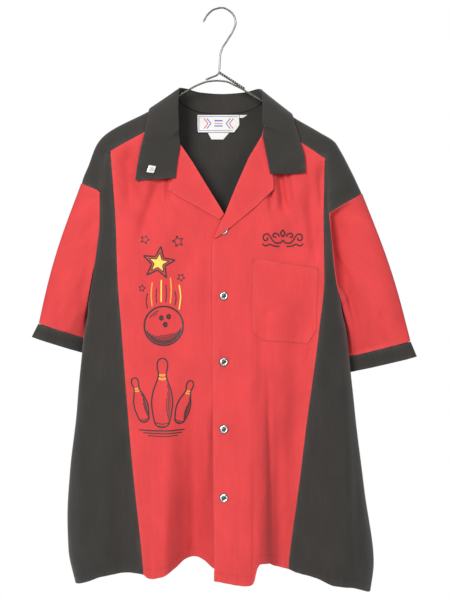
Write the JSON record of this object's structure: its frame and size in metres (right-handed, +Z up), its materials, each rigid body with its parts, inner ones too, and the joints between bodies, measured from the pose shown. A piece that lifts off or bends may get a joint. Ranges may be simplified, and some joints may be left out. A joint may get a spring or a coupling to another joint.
{
  "type": "bowling shirt on a wire hanger",
  "caption": "Short-sleeved two-tone bowling shirt with an open collar, contrast panels, yoke and cuffs, a patch pocket and a snap front, hanging on a wire hanger.",
  "frame": {"origin": "underside of the top of the hanger's hook, on the wire's middle line, where a rail or peg carries it", "axes": "+Z up, the shirt's front faces -Y, +X to the right of someone who looks at the front"},
  "size_m": [0.647, 0.145, 0.9801],
  "materials": {
    "red_cloth": "plain woven cotton blend, dyed red, matt with a faint sheen",
    "black_cloth": "plain woven cotton blend, faded black, matt",
    "label_cloth": "woven satin label, off-white, plain",
    "pin_enamel": "white enamel with a dark edge",
    "snap_metal": "nickel-plated ring snap",
    "hanger_wire": "drawn steel wire"
  },
  "bodies": {
    "root": {"front_left": "red_cloth", "side_left": "black_cloth", "front_right": "red_cloth", "side_right": "black_cloth", "yoke": "black_cloth", "back": "black_cloth", "sleeve_left": "red_cloth", "cuff_left": "black_cloth", "sleeve_right": "red_cloth", "cuff_right": "black_cloth", "collar": "black_cloth", "lapel_left": "red_cloth", "lapel_right": "red_cloth", "pocket": "red_cloth", "snap_1": "snap_metal", "snap_2": "snap_metal", "snap_3": "snap_metal", "snap_4": "snap_metal", "snap_5": "snap_metal", "label_main": "label_cloth", "label_size": "label_cloth", "label_care": "label_cloth", "collar_pin": "pin_enamel", "hanger_arms": "hanger_wire", "hanger_hook": "hanger_wire", "hanger_twist": "hanger_wire"}
  },
  "joints": []
}
